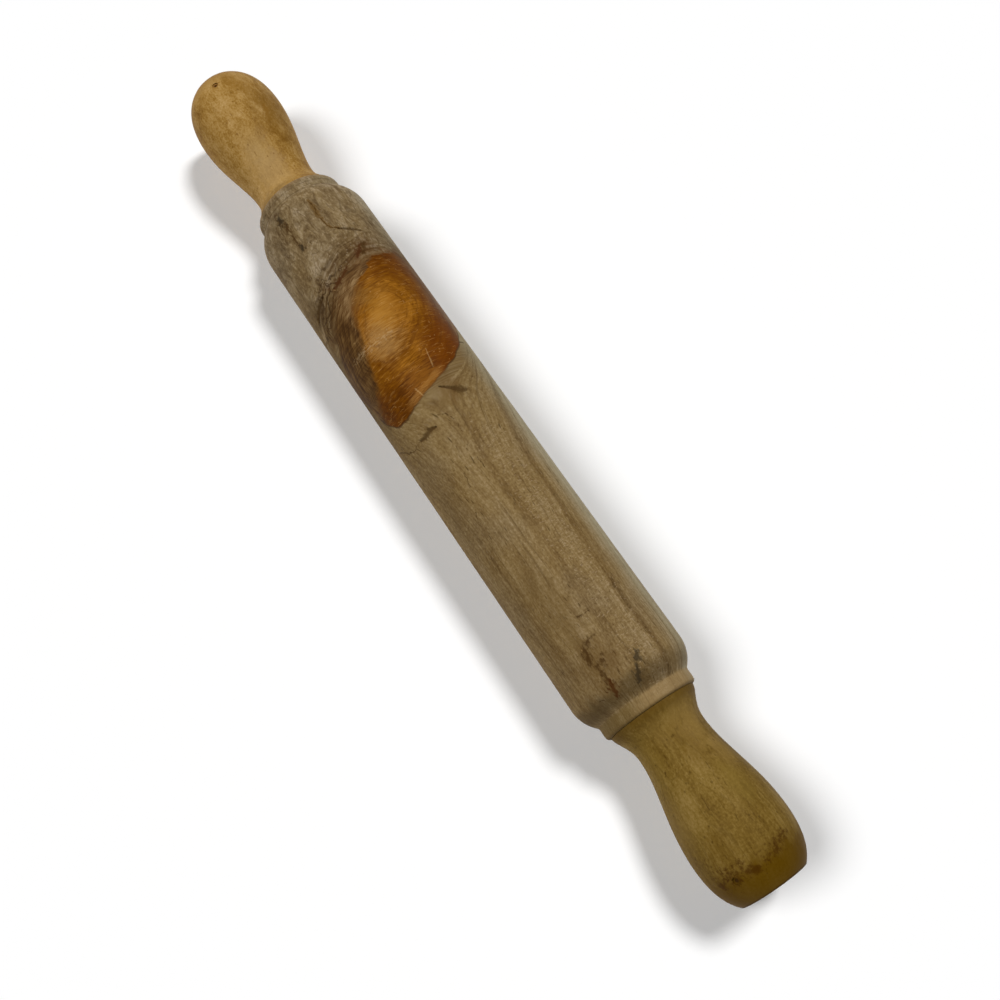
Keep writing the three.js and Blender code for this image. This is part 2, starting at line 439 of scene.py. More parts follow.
def handle_outline(lip_reach):
    """The handle's outside from its lip to its flat end, with the foot at zero."""
    neck = (NECK_AT, NECK_RADIUS)
    bulb = (HANDLE_LENGTH - BULB_FROM_END, BULB_RADIUS)
    rise = bulb[0] - neck[0]
    lip_start = (-lip_reach, FOOT_RADIUS - FOOT_EDGE)
    lip_end = (FOOT_EDGE - lip_reach, FOOT_RADIUS)
    lip = curve([lip_start, (-lip_reach, FOOT_RADIUS), lip_end], 4)
    flare = curve([lip_end, FLARE_START, (FLARE_END, NECK_RADIUS), neck], 18)
    leave_neck = (NECK_AT + NECK_FULLNESS * rise, NECK_RADIUS)
    meet_bulb = (bulb[0] - BULB_FULLNESS * rise, BULB_RADIUS)
    swell = curve([neck, leave_neck, meet_bulb, bulb], 40)
    rim = (HANDLE_LENGTH - END_EASE, END_RADIUS)
    close = curve([bulb, (HANDLE_LENGTH - END_REACH, BULB_RADIUS), rim], 26)
    rim_end = (HANDLE_LENGTH, END_RADIUS - 2 * END_EASE)
    ease = curve([rim, (HANDLE_LENGTH, END_RADIUS - END_EASE), rim_end], 4)
    return lip + flare[1:] + swell[1:] + close[1:] + ease[1:]


def brad_axis(tilt):
    angle = math.radians(tilt)
    return Vector((0, -math.sin(angle), math.cos(angle)))


def brad_along(node):
    low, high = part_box(node)
    return (low.x + high.x) / 2 / MM


def cut_brad_hole(handle, along, tilt):
    """A hole across the bulb with a slightly crushed mouth, cut with a Boolean."""
    axis = brad_axis(tilt)
    neck = BRAD_WOOD_RADIUS - BRAD_MOUTH_DEPTH
    middle = Vector((along, 0, AXLE_HEIGHT)) + axis * (neck + BRAD_HOLE_FLOOR) / 2
    bpy.ops.object.select_all(action="DESELECT")
    bpy.ops.mesh.primitive_cylinder_add(
        vertices=BRAD_HOLE_SIDES,
        radius=BRAD_HOLE_RADIUS * MM,
        depth=(neck - BRAD_HOLE_FLOOR) * MM,
        location=middle * MM,
        rotation=(math.radians(tilt), 0, 0),
    )
    cutter = bpy.context.object
    bpy.ops.object.transform_apply(location=True, rotation=True, scale=True)
    bpy.ops.object.mode_set(mode="EDIT")
    bpy.ops.mesh.select_mode(type="FACE")
    bpy.ops.mesh.select_all(action="DESELECT")
    mesh = bmesh.from_edit_mesh(cutter.data)
    for face in mesh.faces:
        face.select_set(face.normal.dot(axis) > 0.9)
    spread = BRAD_MOUTH_RADIUS / BRAD_HOLE_RADIUS
    for rise, share in ((BRAD_MOUTH_DEPTH, spread), (BRAD_CUTTER_RISE, 1.0)):
        shift = axis * rise * MM
        bpy.ops.mesh.extrude_region_move(TRANSFORM_OT_translate={"value": shift})
        bpy.ops.transform.resize(value=(share, share, share))
    bpy.ops.object.mode_set(mode="OBJECT")
    cut = handle.modifiers.new("brad_hole", "BOOLEAN")
    cut.operation = "DIFFERENCE"
    cut.solver = "EXACT"
    cut.object = cutter
    apply_modifiers(handle)
    bpy.data.objects.remove(cutter, do_unlink=True)


def make_handle(name, side, collar_end, brad, tilt):
    """A handle turned from the end of its blind bore, round its foot and along to its flat end."""
    lip_reach = FOOT_AT - collar_end - JOINT_GAP
    inside = [
        (HANDLE_LENGTH - END_WALL, HANDLE_BORE),
        (RECESS_DEPTH, HANDLE_BORE),
        (RECESS_DEPTH, RECESS_RADIUS),
        (0, RECESS_RADIUS),
        (0, BOSS_RADIUS + BOSS_ROOM),
        (-lip_reach, BOSS_RADIUS + LIP_ROOM),
    ]
    flat = [(HANDLE_LENGTH, END_RADIUS * share) for share in (0.8, 0.6, 0.4, 0.2)]
    outline = inside + handle_outline(lip_reach) + flat
    outline = [(side * (FOOT_AT + along), radius) for along, radius in outline]
    handle = start_ring(name, *outline[0], HANDLE_SIDES)
    turn_along(outline)
    bpy.ops.mesh.merge(type="CENTER")
    select_open_edges()
    bpy.ops.mesh.edge_face_add()
    face_outwards()
    wear_down(handle, lambda along, around, out: out > END_RADIUS - 0.2 and abs(along) > FOOT_AT + 1)
    cut_brad_hole(handle, brad_along(brad), tilt)
    smooth(handle, SMOOTH_ANGLE)
    return handle


# Materials.

WOOD_SHINE = 0.03


def stain(red, green, blue):
    """A colour given as it looks, from 0 to 255, as the shader takes it."""
    parts = []
    for part in (red, green, blue):
        share = part / 255
        parts.append(share / 12.92 if share <= 0.04045 else ((share + 0.055) / 1.055) ** 2.4)
    return (*parts, 1.0)


# Broad tints of the wood: (along, around, reach along, reach around, tint, share).
BARREL_PATCHES = [
    (-11.0, -2.0, 7.0, 7.0, stain(98, 70, 32), 0.5),
    (106.0, 10.0, 10.0, 8.0, stain(88, 62, 26), 0.45),
    (82.0, 13.0, 26.0, 7.0, stain(98, 76, 42), 0.35),
    (-82.0, -8.0, 6.0, 5.0, stain(78, 50, 20), 0.45),
    (-117.0, 16.0, 7.0, 5.0, stain(82, 68, 44), 0.4),
    (-38.0, 36.0, 26.0, 9.0, stain(64, 46, 24), 0.6),
    (-72.0, 26.0, 7.0, 8.0, stain(70, 50, 26), 0.5),
]
KNOT_PATCHES = [
    (-43.0, 8.0, 9.0, 8.0, stain(162, 124, 72), 0.6),
    (-52.0, 2.0, 7.0, 6.0, stain(170, 122, 52), 0.4),
    (-60.0, 0.0, 7.0, 6.0, stain(160, 110, 38), 0.4),
    (-66.0, 8.0, 8.0, 7.0, stain(112, 84, 46), 0.5),
    (-21.0, 4.0, 6.0, 7.0, stain(146, 94, 32), 0.45),
]
RIGHT_HANDLE_PATCHES = [
    (138.0, -12.0, 13.0, 12.0, stain(148, 120, 66), 0.5),
    (150.0, -17.0, 9.0, 8.0, stain(150, 122, 66), 0.4),
    (134.0, 5.0, 8.0, 14.0, stain(130, 104, 52), 0.45),
    (142.0, 25.0, 12.0, 8.0, stain(132, 106, 46), 0.4),
    (145.0, 0.0, 9.0, 7.0, stain(102, 76, 24), 0.45),
    (163.0, -9.0, 9.0, 6.0, stain(134, 110, 50), 0.4),
    (165.0, 28.0, 11.0, 8.0, stain(132, 106, 54), 0.45),
    (178.0, 14.0, 8.0, 9.0, stain(98, 72, 20), 0.35),
]
LEFT_HANDLE_PATCHES = [
    (-168.0, -17.0, 15.0, 12.0, stain(116, 80, 22), 0.55),
    (-183.0, -7.0, 8.0, 9.0, stain(136, 98, 38), 0.45),
    (-141.0, 6.0, 13.0, 15.0, stain(178, 148, 100), 0.5),
    (-153.0, 4.0, 9.0, 9.0, stain(172, 142, 92), 0.35),
    (-130.0, 15.0, 3.0, 14.0, stain(122, 96, 52), 0.5),
]


class Bench:
    """Sets out and wires the nodes of one material or group."""

    def __init__(self, tree):
        self.tree = tree

    def node(self, kind, **settings):
        made = self.tree.nodes.new(kind)
        for name, value in settings.items():
            setattr(made, name, value)
        return made

    def wire(self, socket, source):
        if isinstance(source, bpy.types.NodeSocket):
            self.tree.links.new(source, socket)
        else:
            socket.default_value = source

    def math(self, operation, *operands):
        made = self.node("ShaderNodeMath", operation=operation)
        for socket, operand in zip(made.inputs, operands):
            self.wire(socket, operand)
        return made.outputs[0]

    def times(self, first, *others):
        product = first
        for other in others:
            product = self.math("MULTIPLY", product, other)
        return product

    def vector(self, operation, *operands):
        made = self.node("ShaderNodeVectorMath", operation=operation)
        for socket, operand in zip(made.inputs, operands):
            self.wire(socket, operand)
        single = operation in ("DOT_PRODUCT", "LENGTH", "DISTANCE")
        return made.outputs["Value" if single else "Vector"]

    def join(self, x, y, z):
        made = self.node("ShaderNodeCombineXYZ")
        for socket, source in zip(made.inputs, (x, y, z)):
            self.wire(socket, source)
        return made.outputs[0]

    def split(self, source):
        made = self.node("ShaderNodeSeparateXYZ")
        self.wire(made.inputs[0], source)
        return made.outputs

    def noise(self, place, sizes, detail=2.0, roughness=0.5, swirl=0.0, output="Fac"):
        """Noise whose patches have the given sizes along X, Y and Z."""
        made = self.node("ShaderNodeTexNoise")
        self.wire(made.inputs["Vector"], self.vector("DIVIDE", place, sizes))
        made.inputs["Scale"].default_value = 1.0
        made.inputs["Detail"].default_value = detail
        made.inputs["Roughness"].default_value = roughness
        made.inputs["Distortion"].default_value = swirl
        return made.outputs[output]

    def dashes(self, place, sizes, reach, share):
        """Scattered dashes: one to a cell of the given sizes, of which a share is drawn."""
        made = self.node("ShaderNodeTexVoronoi")
        self.wire(made.inputs["Vector"], self.vector("DIVIDE", place, sizes))
        made.inputs["Scale"].default_value = 1.0
        chosen = self.math("LESS_THAN", self.split(made.outputs["Color"])[0], share)
        return self.times(self.fade(made.outputs["Distance"], reach, 0.5 * reach), chosen)

    def contours(self, field, count, width):
        """Thin lines along the levels of a field."""
        wave = self.math("PINGPONG", self.math("MULTIPLY", field, count), 1.0)
        return self.fade(wave, width, 0.3 * width)

    def nudge(self, place, size, reach):
        """A small shift that wanders over patches of one size."""
        wander = self.noise(place, (size, size, size), output="Color")
        return self.vector("MULTIPLY", self.vector("SUBTRACT", wander, (0.5, 0.5, 0.5)), reach)

    def fade(self, value, start, end, low=0.0, high=1.0):
        made = self.node("ShaderNodeMapRange", interpolation_type="SMOOTHSTEP")
        for socket, source in zip(made.inputs, (value, start, end, low, high)):
            self.wire(socket, source)
        return made.outputs[0]

    def within(self, value, middle, reach, edge):
        """1 where a value is within reach of a middle, fading to 0 over the edge."""
        return self.fade(self.math("ABSOLUTE", self.math("SUBTRACT", value, middle)), reach + edge, reach)

    def blend(self, factor, first, second, how="MIX"):
        made = self.node("ShaderNodeMix", data_type="RGBA", blend_type=how)
        self.wire(made.inputs[0], factor)
        self.wire(made.inputs[6], first)
        self.wire(made.inputs[7], second)
        return made.outputs[2]

    def tint(self, colour, mask, share, stained):
        return self.blend(self.math("MULTIPLY", mask, share), colour, stained)

    def ramp(self, value, stops, course="LINEAR"):
        made = self.node("ShaderNodeValToRGB")
        self.wire(made.inputs[0], value)
        made.color_ramp.interpolation = course
        elements = made.color_ramp.elements
        for position, colour in stops[2:]:
            elements.new(position)
        for element, (position, colour) in zip(elements, stops):
            element.position = position
        for element, (position, colour) in zip(elements, stops):
            element.color = colour
        return made.outputs[0]

    def drawn(self, value, stops, course="LINEAR"):
        """A number that follows a line drawn by (place, level) stops."""
        greys = [(place, (level, level, level, 1)) for place, level in stops]
        return self.split(self.ramp(value, greys, course))[0]

    def group(self, tree, **inputs):
        made = self.node("ShaderNodeGroup", node_tree=tree)
        for name, source in inputs.items():
            self.wire(made.inputs[name.replace("_", " ").title()], source)
        return made.outputs

    def sum_of(self, start, *parts):
        """start plus each (value, share) part's distance from one half times its share."""
        total = start
        for value, share in parts:
            total = self.math("MULTIPLY_ADD", self.math("SUBTRACT", value, 0.5), share, total)
        return total

    def bump(self, height, strength, distance):
        made = self.node("ShaderNodeBump")
        made.inputs["Strength"].default_value = strength
        made.inputs["Distance"].default_value = distance * MM
        self.wire(made.inputs["Height"], height)
        return made.outputs[0]


def new_group(name, inputs, outputs):
    """A node group with named sockets: (name, kind) pairs, kind Float, Vector or Color."""
    tree = bpy.data.node_groups.new(name, "ShaderNodeTree")
    for socket, kind in inputs:
        tree.interface.new_socket(socket, in_out="INPUT", socket_type="NodeSocket" + kind)
    for socket, kind in outputs:
        tree.interface.new_socket(socket, in_out="OUTPUT", socket_type="NodeSocket" + kind)
    bench = Bench(tree)
    return tree, bench, bench.node("NodeGroupInput").outputs, bench.node("NodeGroupOutput").inputs


def new_finish(name):
    """An empty material with its shader, and the place on the piece in millimetres from the axle."""
    finish = bpy.data.materials.new(name)
    finish.use_nodes = True
    finish.node_tree.nodes.clear()
    bench = Bench(finish.node_tree)
    shader = bench.node("ShaderNodeBsdfPrincipled")
    output = bench.node("ShaderNodeOutputMaterial")
    bench.wire(output.inputs["Surface"], shader.outputs["BSDF"])
    coordinates = bench.node("ShaderNodeTexCoord").outputs["Object"]
    millimetres = bench.vector("MULTIPLY", coordinates, (1 / MM, 1 / MM, 1 / MM))
    place = bench.vector("SUBTRACT", millimetres, (0, 0, AXLE_HEIGHT))
    return finish, bench, shader, place


def make_lathe_group():
    """Place on a turned piece: along the axle, and round it as at the barrel's radius."""
    tree, bench, given, result = new_group(
        "Lathe Place",
        [("Place", "Vector")],
        [("Along", "Float"), ("Around", "Float"), ("Spot", "Vector")],
    )
    x, y, z = bench.split(given["Place"])
    angle = bench.math("ARCTAN2", bench.math("MULTIPLY", y, -1.0), z)
    around = bench.math("MULTIPLY", angle, BARREL_RADIUS)
    bench.wire(result["Along"], x)
    bench.wire(result["Around"], around)
    bench.wire(result["Spot"], bench.join(x, around, 0.0))
    return tree


def make_grain_group():
    """Bands, streaks, threads, mottle, speckle, open pores and pale flecks, along the grain's first axis."""
    tree, bench, given, result = new_group(
        "Wood Grain",
        [("Grain", "Vector"), ("Pore Share", "Float")],
        [
            ("Bands", "Float"),
            ("Streaks", "Float"),
            ("Threads", "Float"),
            ("Mottle", "Float"),
            ("Speckle", "Float"),
            ("Pores", "Float"),
            ("Flecks", "Float"),
        ],
    )
    grain = given["Grain"]
    bench.wire(result["Bands"], bench.noise(grain, (110, 6, 6), 2.0, 0.5))
    bench.wire(result["Streaks"], bench.noise(grain, (22, 0.9, 0.9), 2.0, 0.55))
    threads = bench.noise(grain, (48, 0.8, 0.8), 1.0, 0.5)
    bench.wire(result["Threads"], bench.fade(threads, 0.35, 0.29))
    bench.wire(result["Mottle"], bench.noise(grain, (6.5, 2.8, 2.8), 2.0, 0.55))
    bench.wire(result["Speckle"], bench.noise(grain, (1.0, 0.6, 0.6), 2.0, 0.65))
    crowd = bench.noise(grain, (26, 5, 5), 1.0, 0.5)
    share = bench.times(bench.fade(crowd, 0.36, 0.72), given["Pore Share"])
    pore_depth = bench.noise(grain, (5.0, 2.0, 2.0), 1.0, 0.5)
    pores = bench.dashes(grain, (4.6, 0.75, 0.75), 0.3, share)
    bench.wire(result["Pores"], bench.times(pores, bench.fade(pore_depth, 0.35, 0.6, 0.3, 1.0)))
    aside = bench.vector("ADD", grain, (31.0, 17.0, 23.0))
    bench.wire(result["Flecks"], bench.dashes(aside, (2.4, 0.8, 0.8), 0.36, given["Pore Share"]))
    return tree


def make_mark_group():
    """A streak from one place to another that narrows or widens on its way."""
    tree, bench, given, result = new_group(
        "Streak Mark",
        [
            ("Spot", "Vector"),
            ("Ragged", "Float"),
            ("Start", "Vector"),
            ("End", "Vector"),
            ("Start Width", "Float"),
            ("End Width", "Float"),
        ],
        [("Mask", "Float")],
    )
    reach = bench.vector("SUBTRACT", given["Spot"], given["Start"])
    run = bench.vector("SUBTRACT", given["End"], given["Start"])
    square = bench.vector("DOT_PRODUCT", run, run)
    share = bench.math("DIVIDE", bench.vector("DOT_PRODUCT", reach, run), square)
    share = bench.math("MINIMUM", bench.math("MAXIMUM", share, 0.0), 1.0)
    nearest = bench.vector("MULTIPLY", run, bench.join(share, share, share))
    distance = bench.times(bench.vector("DISTANCE", reach, nearest), given["Ragged"])
    widening = bench.math("SUBTRACT", given["End Width"], given["Start Width"])
    width = bench.math("MULTIPLY_ADD", widening, share, given["Start Width"])
    bench.wire(result["Mask"], bench.fade(bench.math("DIVIDE", distance, width), 1.4, 0.15))
    return tree


LATHE_PLACE = make_lathe_group()
WOOD_GRAIN = make_grain_group()
STREAK_MARK = make_mark_group()


def marked(bench, spot, ragged, lines):
    """Mask of all the streaks in a list of flaws."""
    total = 0.0
    for line in lines:
        for start, end in zip(line, line[1:]):
            mark = bench.group(
                STREAK_MARK,
                spot=spot,
                ragged=ragged,
                start=(start[0], start[1], 0),
                end=(end[0], end[1], 0),
                start_width=start[2],
                end_width=end[2],
            )
            total = bench.math("MAXIMUM", total, mark["Mask"])
    return total


def patched(bench, colour, spot, uneven, patches):
    """Broad soft tints: (along, around, reach along, reach around, tint, share) each."""
    for along, around, long_reach, round_reach, tint, share in patches:
        past = bench.vector("SUBTRACT", spot, (along, around, 0))
        past = bench.vector("DIVIDE", past, (long_reach, round_reach, 1))
        distance = bench.sum_of(bench.vector("LENGTH", past), (uneven, 2.0))
        colour = bench.tint(colour, bench.fade(distance, 1.35, 0.3), share, tint)
    return colour


def knot_rings(bench, spot):
    """Rings of the knot, 0 at its heart and 1 at its edge, and the direction from the heart."""
    past = bench.vector("SUBTRACT", spot, (KNOT_ALONG, KNOT_AROUND, 0))
    across = (math.cos(KNOT_SLANT) / KNOT_LENGTH, math.sin(KNOT_SLANT) / KNOT_LENGTH, 0)
    upwards = (-math.sin(KNOT_SLANT) / KNOT_BREADTH, math.cos(KNOT_SLANT) / KNOT_BREADTH, 0)
    u = bench.vector("DOT_PRODUCT", past, across)
    v = bench.vector("DOT_PRODUCT", past, upwards)
    heart = (HEART.x, HEART.y, 0)
    spoke = bench.vector("SUBTRACT", bench.join(u, v, 0.0), heart)
    lean = bench.vector("DOT_PRODUCT", spoke, heart)
    square = bench.vector("DOT_PRODUCT", spoke, spoke)
    room = 1 - HEART.length_squared
    root = bench.math("SQRT", bench.math("MULTIPLY_ADD", lean, lean, bench.times(square, room)))
    rings = bench.math("DIVIDE", bench.math("ADD", lean, root), room)
    return rings, bench.vector("NORMALIZE", spoke)


def past_line(bench, along, around, edge):
    """How far a place is to the right of an edge drawn by (around, along) places."""
    stops = [((turn - EDGE_START) / EDGE_SPAN, -reach / EDGE_REACH) for turn, reach in edge]
    share = bench.math("MULTIPLY_ADD", around, 1 / EDGE_SPAN, -EDGE_START / EDGE_SPAN)
    line = bench.drawn(share, stops, "CARDINAL")
    return bench.math("MULTIPLY_ADD", line, EDGE_REACH, along)


def bent_grain(bench, along, around):
    """The straight grain of the barrel, bent round the knot: along and around."""
    past = bench.math("SUBTRACT", along, KNOT_ALONG)
    aside = bench.math("SUBTRACT", around, KNOT_AROUND)
    distance = bench.math("MULTIPLY_ADD", past, past, bench.math("MULTIPLY_ADD", aside, aside, 1.0))
    push = bench.math("MINIMUM", bench.math("DIVIDE", BEND_RADIUS ** 2, distance), 1.0)
    push = bench.times(push, bench.fade(bench.math("ABSOLUTE", aside), 62.0, 36.0))
    grain_along = bench.math("MULTIPLY_ADD", past, push, along)
    grain_around = bench.math("SUBTRACT", around, bench.times(aside, push))
    return grain_along, grain_around


def wrapped(bench, along, around):
    """A place along and around as a point on the barrel's circle, so that patterns meet underneath."""
    angle = bench.math("DIVIDE", around, BARREL_RADIUS)
    side = bench.times(bench.math("SINE", angle), BARREL_RADIUS)
    top = bench.times(bench.math("COSINE", angle), BARREL_RADIUS)
    return bench.join(along, side, top)


def barrel_wood():
    """Grey-brown wood with an amber knot, grain bent round the knot, and the barrel's flaws."""
    finish, bench, shader, place = new_finish("barrel_wood")
    lathe = bench.group(LATHE_PLACE, place=place)
    along = lathe["Along"]
    around = lathe["Around"]
    spot = lathe["Spot"]
    ragged = bench.fade(bench.noise(place, (1.8, 0.8, 0.8), 4.0, 0.75), 0.3, 0.7, 0.4, 2.2)
    frayed = bench.math("MULTIPLY_ADD", ragged, 0.5, 0.3)
    broken = bench.fade(bench.noise(place, (2.6, 2.2, 2.2), 2.0, 0.5), 0.3, 0.5)
    soaked = bench.fade(bench.noise(place, (3.4, 2.0, 2.0), 3.0, 0.6), 0.36, 0.56)

    # Straight grain, bent round the knot.
    drift = bench.split(bench.vector("ADD", spot, bench.nudge(place, 34.0, (0, 5, 0))))
    grain_along, grain_around = bent_grain(bench, along, drift[1])
    lines = bench.group(WOOD_GRAIN, grain=wrapped(bench, grain_along, grain_around), pore_share=0.85)
    rough_spot = bench.vector("ADD", spot, bench.nudge(place, 4.5, (2.4, 2.4, 0)))
    rough_spot = bench.vector("ADD", rough_spot, bench.nudge(place, 1.2, (1.4, 1.4, 0)))

    # Growth bands across the side that shows, from the back to the front.
    waver = bench.sum_of(bench.math("MULTIPLY_ADD", grain_around, 1 / 90, 0.5), (lines["Bands"], 0.05))
    bands = bench.drawn(waver, GROWTH_TONES)

    # The knot's rings, whose lines go on into the stirred wood to its left.
    rings, spoke = knot_rings(bench, bench.vector("ADD", spot, bench.nudge(place, 8.0, (3.6, 3.6, 0))))
    turn = bench.split(spoke)
    ring_place = bench.join(rings, turn[0], turn[1])
    growth = bench.noise(ring_place, (0.13, 1.0, 1.0), 2.0, 0.5)
    hairs = bench.noise(ring_place, (0.026, 0.24, 0.24), 2.0, 0.6)
    swirls = bench.noise(ring_place, (0.075, 0.55, 0.55), 3.0, 0.6)
    patches = bench.noise(place, (8, 6, 6), 3.0, 0.6)
    clouds = bench.noise(place, (26, 14, 14), 3.0, 0.55)
    left_side = bench.fade(along, -50.0, -66.0)
    stirred = bench.times(left_side, bench.fade(rings, 1.75, 1.2), bench.fade(rings, 0.8, 1.0))
    stirred = bench.times(stirred, bench.fade(around, -18.0, 0.0, 0.35, 1.0))
    far = bench.fade(along, -58.0, -84.0)
    curls = bench.noise(place, (11, 5, 5), 3.0, 0.6, 1.6)
    level = bench.noise(place, (13, 6, 6), 2.0, 0.5, 0.8)
    curl_lines = bench.contours(level, 13.0, 0.26)
    ring_lines = bench.contours(bench.sum_of(rings, (level, 1.0), (hairs, 0.1)), 11.0, 0.42)

    # Cross ticks where the rays come to the surface.
    ticks = bench.noise(place, (0.6, 1.9, 1.9), 2.0, 0.5)
    tick_zone = bench.times(bench.within(around, -5.5, 3.0, 5.0), bench.fade(along, -2.0, 24.0))
    jostled = bench.vector("ADD", place, bench.nudge(place, 2.2, (2.0, 1.0, 1.0)))
    pale_ticks = bench.dashes(jostled, (0.6, 1.7, 1.7), 0.42, bench.times(tick_zone, 0.6))
    dark_share = bench.math("MULTIPLY_ADD", tick_zone, 0.25, 0.05)
    dark_place = bench.vector("ADD", jostled, (7.3, 11.0, 5.0))
    dark_ticks = bench.dashes(dark_place, (0.6, 1.6, 1.6), 0.38, dark_share)

    tone = bench.sum_of(
        0.5,
        (bands, 0.6),
        (lines["Bands"], 0.3),
        (lines["Mottle"], 0.3),
        (lines["Speckle"], 0.6),
        (lines["Streaks"], bench.math("MULTIPLY_ADD", far, -0.3, 0.4)),
        (ticks, bench.math("MULTIPLY_ADD", tick_zone, 0.2, 0.12)),
        (curls, bench.times(far, 1.1)),
        (swirls, bench.times(stirred, 2.0)),
    )
    warm = bench.ramp(tone, [
        (0.18, stain(85, 63, 32)),
        (0.42, stain(115, 91, 54)),
        (0.56, stain(131, 108, 68)),
        (0.84, stain(162, 139, 103)),
    ])
    dull = bench.ramp(tone, [
        (0.18, stain(80, 66, 47)),
        (0.42, stain(113, 97, 73)),
        (0.56, stain(131, 115, 90)),
        (0.84, stain(162, 148, 126)),
    ])
    pale = bench.ramp(tone, [
        (0.18, stain(122, 112, 86)),
        (0.5, stain(158, 148, 118)),
        (0.84, stain(184, 176, 150)),
    ])
    greyness = bench.sum_of(bench.math("MULTIPLY_ADD", far, 0.4, 0.1), (clouds, 1.2))
    wood = bench.blend(bench.math("MINIMUM", bench.math("MAXIMUM", greyness, 0.0), 1.0), warm, dull)
    # A paler, greyer strip along the back of the barrel: partly dust, partly painted sheen where the back
    # edge catches grazing light.
    dust_and_sheen = bench.times(bench.within(around, -35.0, 7.0, 14.0), bench.fade(along, -70.0, 10.0, 0.35, 0.8))
    wood = bench.tint(wood, bench.times(dust_and_sheen, bench.fade(lines["Bands"], 0.2, 0.6, 0.6, 1.0)), 1.0, pale)
    wood = bench.tint(wood, lines["Threads"], bench.fade(along, -66.0, -20.0, 0.15, 0.45), stain(84, 63, 34))
    straight = bench.fade(along, -88.0, -40.0)
    wood = bench.tint(wood, bench.times(lines["Flecks"], straight), 0.2, stain(160, 140, 106))
    wood = bench.tint(wood, pale_ticks, 0.4, stain(168, 146, 114))
    wood = bench.tint(wood, dark_ticks, 0.5, stain(82, 60, 32))
    wood = bench.tint(wood, bench.times(lines["Pores"], straight), 0.68, stain(60, 42, 18))
    wood = bench.tint(wood, bench.times(curl_lines, far), 0.42, stain(74, 55, 32))
    wood = bench.tint(wood, stirred, 0.35, stain(80, 56, 28))
    ring_lines = bench.times(ring_lines, stirred, bench.fade(around, -2.0, 16.0, 0.25, 1.0))
    wood = bench.tint(wood, ring_lines, 0.85, stain(50, 32, 14))
    wood = patched(bench, wood, spot, patches, BARREL_PATCHES)
    crumbs = bench.dashes(jostled, (1.3, 1.1, 1.1), 0.36, 0.3)
    crumb_share = bench.math("MULTIPLY_ADD", stirred, 0.1, 0.2)
    wood = bench.tint(wood, bench.times(far, crumbs), crumb_share, stain(172, 152, 124))
    redden = bench.times(left_side, bench.fade(rings, 1.45, 1.05), bench.fade(patches, 0.46, 0.62))
    wood = bench.tint(wood, redden, 0.7, stain(78, 48, 24))

    # The near shoulder darker and greyer, weaker at the back: partly grime, partly painted shade where the
    # shoulder turns away from the lamps. The collar beyond it lighter on its top and back and darker towards
    # the front.
    uneven = bench.sum_of(along, (lines["Mottle"], 7.0), (patches, 4.0))
    shoulder_grime_and_shade = bench.times(bench.fade(uneven, 112.0, 117.0), bench.fade(along, 122.0, 118.5))
    shoulder_grime_and_shade = bench.times(shoulder_grime_and_shade, bench.fade(around, -18.0, 2.0, 0.55, 1.0))
    wood = bench.tint(wood, shoulder_grime_and_shade, 0.6, stain(66, 50, 26))
    collar = bench.fade(along, 121.4, 122.2)
    top_and_back = bench.fade(bench.sum_of(around, (patches, 12.0)), 18.0, 0.0)
    wood = bench.tint(wood, bench.times(collar, top_and_back), 0.55, stain(152, 126, 84))
    wood = bench.tint(wood, bench.times(collar, bench.math("SUBTRACT", 1.0, top_and_back)), 0.5, stain(98, 79, 40))
    joint = bench.fade(bench.sum_of(along, (lines["Mottle"], 1.6), (lines["Speckle"], 1.0)), 125.6, 127.2)
    wood = bench.tint(wood, joint, 0.5, stain(104, 80, 38))
    far_collar = bench.times(bench.fade(along, -121.4, -122.2), bench.fade(around, -2.0, -16.0))
    wood = bench.tint(wood, far_collar, 0.4, stain(146, 128, 94))
    wood = bench.tint(wood, bench.within(along, -127.0, 0.5, 0.7), 0.3, stain(150, 122, 88))
    cove_line = bench.within(along, -121.9, 0.15, 0.3)
    collar_line = bench.within(along, -124.6, 0.1, 0.2)
    grooves = bench.times(bench.math("MAXIMUM", cove_line, collar_line), broken)
    wood = bench.tint(wood, grooves, 0.45, stain(62, 48, 30))

    # The knot: golden at its heart, browner towards its edge and dusky along its lower side.
    rightward = bench.fade(along, -56.0, -32.0)
    settled = bench.fade(rings, 0.08, 0.4)
    brushed = bench.noise(place, (0.5, 4.2, 4.2), 3.0, 0.6)
    depth = bench.sum_of(
        bench.math("MULTIPLY_ADD", rings, 0.64, 0.1),
        (growth, bench.times(settled, 0.6)),
        (hairs, bench.times(settled, 0.5)),
        (brushed, bench.math("MULTIPLY_ADD", rightward, 0.4, 0.4)),
        (patches, 0.5),
        (lines["Speckle"], 0.3),
    )
    amber = bench.ramp(depth, [
        (0.0, stain(172, 118, 42)),
        (0.2, stain(148, 95, 22)),
        (0.4, stain(122, 74, 8)),
        (0.6, stain(103, 57, 2)),
        (0.85, stain(76, 38, 0)),
    ])
    reddish = bench.times(rightward, bench.fade(rings, 0.35, 0.75), bench.fade(around, 1.0, -8.0))
    amber = bench.tint(amber, reddish, 0.55, stain(104, 50, 1))
    amber = patched(bench, amber, spot, brushed, KNOT_PATCHES)
    past_edge = past_line(bench, along, around, KNOT_RIGHT_EDGE)
    past_edge = bench.sum_of(past_edge, (lines["Mottle"], 0.8), (brushed, 0.5), (lines["Speckle"], 0.4))
    edge_glow = bench.times(bench.within(past_edge, -2.0, 0.9, 1.3), bench.within(around, 5.0, 6.0, 6.0))
    edge_glow = bench.times(edge_glow, bench.fade(brushed, 0.34, 0.5))
    amber = bench.tint(amber, edge_glow, 0.6, stain(158, 110, 50))
    pale_strokes = bench.dashes(jostled, (0.4, 6.0, 6.0), 0.38, bench.fade(along, -70.0, -46.0, 0.3, 0.5))
